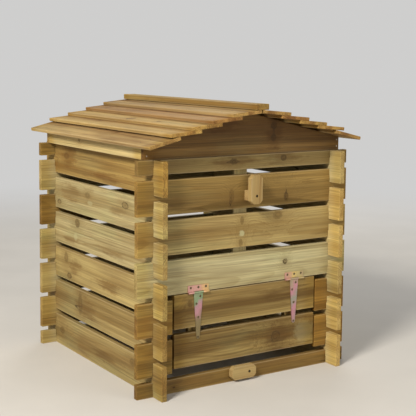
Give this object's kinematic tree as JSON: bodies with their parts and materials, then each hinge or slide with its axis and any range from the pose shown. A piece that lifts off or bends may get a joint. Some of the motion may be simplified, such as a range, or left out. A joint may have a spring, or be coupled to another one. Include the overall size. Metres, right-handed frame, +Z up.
{
  "type": "compost bin",
  "caption": "Beehive-style timber compost bin with slatted log-cabin walls, a hinged front hatch held by turn buttons and a lift-off lapped-board lid.",
  "frame": {"origin": "on the ground under the middle of the bin", "axes": "+Z up, -Y towards the front with the hatch, +X to the right of a person who faces the front"},
  "size_m": [0.74, 0.782, 0.8156],
  "materials": {
    "wall_timber": "sawn, pressure treated",
    "hatch_timber": "sawn, pressure treated",
    "lid_timber": "sawn, pressure treated",
    "roof_timber": "sawn, pressure treated",
    "button_timber": "planed",
    "hinge_zinc": "yellow zinc plate",
    "screw_zinc": "zinc plate"
  },
  "bodies": {
    "bin": {"left_slat_1": "wall_timber", "left_slat_2": "wall_timber", "left_slat_3": "wall_timber", "left_slat_4": "wall_timber", "left_slat_5": "wall_timber", "left_slat_6": "wall_timber", "right_slat_1": "wall_timber", "right_slat_2": "wall_timber", "right_slat_3": "wall_timber", "right_slat_4": "wall_timber", "right_slat_5": "wall_timber", "right_slat_6": "wall_timber", "back_bottom_rail": "wall_timber", "back_slat_1": "wall_timber", "back_slat_2": "wall_timber", "back_slat_3": "wall_timber", "back_slat_4": "wall_timber", "back_slat_5": "wall_timber", "back_top_rail": "wall_timber", "front_bottom_rail": "wall_timber", "front_left_stub_1": "wall_timber", "front_left_stub_2": "wall_timber", "front_right_stub_1": "wall_timber", "front_right_stub_2": "wall_timber", "front_slat_3": "wall_timber", "front_slat_4": "wall_timber", "front_slat_5": "wall_timber", "front_top_rail": "wall_timber", "front_brace": "wall_timber", "left_hinge_plate": "hinge_zinc", "right_hinge_plate": "hinge_zinc", "hinge_pins": "screw_zinc", "hinge_plate_screws": "screw_zinc", "pivot_screws": "screw_zinc", "hold_open_spacer": "button_timber"},
    "hatch": {"hatch_board_1": "hatch_timber", "hatch_board_2": "hatch_timber", "hatch_left_batten": "hatch_timber", "hatch_right_batten": "hatch_timber", "left_hinge_strap": "hinge_zinc", "right_hinge_strap": "hinge_zinc", "hatch_screws": "screw_zinc"},
    "hold_open": {"hold_open_button": "button_timber"},
    "latch": {"latch_button": "button_timber"},
    "lid": {"lid_front_gable": "lid_timber", "lid_back_gable": "lid_timber", "lid_left_rail": "lid_timber", "lid_right_rail": "lid_timber", "lid_locating_blocks": "lid_timber", "roof_left_1": "roof_timber", "roof_left_2": "roof_timber", "roof_left_3": "roof_timber", "roof_left_4": "roof_timber", "roof_left_5": "roof_timber", "roof_right_1": "roof_timber", "roof_right_2": "roof_timber", "roof_right_3": "roof_timber", "roof_right_4": "roof_timber", "roof_right_5": "roof_timber", "ridge_batten": "roof_timber"}
  },
  "joints": [
    {"name": "lid_lift", "type": "slide", "parent": "bin", "child": "lid", "axis": [0, 0, 1], "range_m": [0, 0.3]},
    {"name": "hatch_hinge", "type": "hinge", "parent": "bin", "child": "hatch", "pos_m": [0, -0.3302, 0.28225], "axis": [-1, 0, 0], "range_deg": [0, 181.6]},
    {"name": "hold_open_turn", "type": "hinge", "parent": "bin", "child": "hold_open", "pos_m": [0.004, -0.327, 0.54925], "axis": [0, 1, 0], "continuous": true},
    {"name": "latch_turn", "type": "hinge", "parent": "bin", "child": "latch", "pos_m": [-0.001, -0.327, 0.0275], "axis": [0, 1, 0], "range_deg": [0, 180]}
  ]
}
